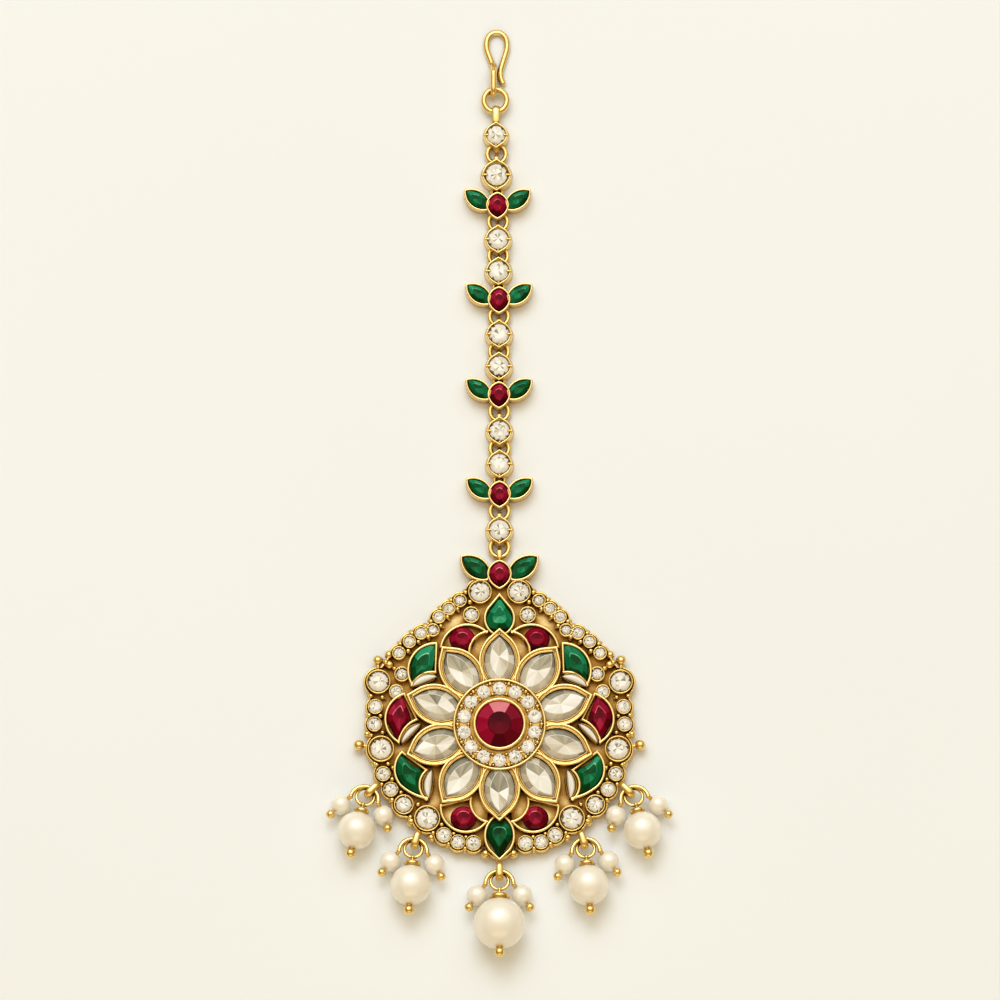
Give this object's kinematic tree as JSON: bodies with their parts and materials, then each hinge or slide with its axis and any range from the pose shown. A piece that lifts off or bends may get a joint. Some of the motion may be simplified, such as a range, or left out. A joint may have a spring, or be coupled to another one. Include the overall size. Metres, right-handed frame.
{
  "type": "maang tikka",
  "caption": "Gold forehead ornament: a hair hook, a slim stone-set chain and a faceted flower pendant edged with pearl drops.",
  "frame": {"origin": "centre of the pendant's flat back", "axes": "+Z out of the pendant's front through the centre ruby, +Y along the chain towards the hook, +X to the right as seen from the front"},
  "size_m": [0.0554, 0.1515, 0.0083],
  "materials": {
    "gold": "polished antique gold plating",
    "clear_stone": "faceted, foil-backed",
    "ruby": "faceted, foil-backed",
    "emerald": "faceted, foil-backed",
    "pearl": "lustrous pearl coating"
  },
  "bodies": {
    "root": {"hook": "gold", "hook_ring": "gold", "chain_link_1": "gold", "chain_link_2": "gold", "chain_link_3": "gold", "chain_link_4": "gold", "chain_link_5": "gold", "chain_link_6": "gold", "chain_link_7": "gold", "chain_link_8": "gold", "chain_link_9": "gold", "leaf_link_1": "gold", "leaf_link_2": "gold", "leaf_link_3": "gold", "leaf_link_4": "gold", "jump_rings": "gold", "pendant_setting": "gold", "drop_rings": "gold", "side_wires": "gold", "drop_pin_1": "gold", "drop_pin_2": "gold", "drop_pin_3": "gold", "drop_pin_4": "gold", "drop_pin_5": "gold", "chain_clear_stones": "clear_stone", "halo_stones": "clear_stone", "border_stones": "clear_stone", "crescent_stones": "clear_stone", "petal_stone_1": "clear_stone", "petal_stone_2": "clear_stone", "petal_stone_3": "clear_stone", "petal_stone_4": "clear_stone", "petal_stone_5": "clear_stone", "petal_stone_6": "clear_stone", "petal_stone_7": "clear_stone", "petal_stone_8": "clear_stone", "petal_stone_9": "clear_stone", "petal_stone_10": "clear_stone", "chain_rubies": "ruby", "centre_ruby": "ruby", "ruby_1": "ruby", "ruby_2": "ruby", "ruby_3": "ruby", "ruby_4": "ruby", "ruby_5": "ruby", "ruby_6": "ruby", "chain_emeralds": "emerald", "emerald_1": "emerald", "emerald_2": "emerald", "emerald_3": "emerald", "emerald_4": "emerald", "emerald_5": "emerald", "emerald_6": "emerald", "small_pearls": "pearl", "drop_pearl_1": "pearl", "drop_pearl_2": "pearl", "drop_pearl_3": "pearl", "drop_pearl_4": "pearl", "drop_pearl_5": "pearl"}
  },
  "joints": []
}
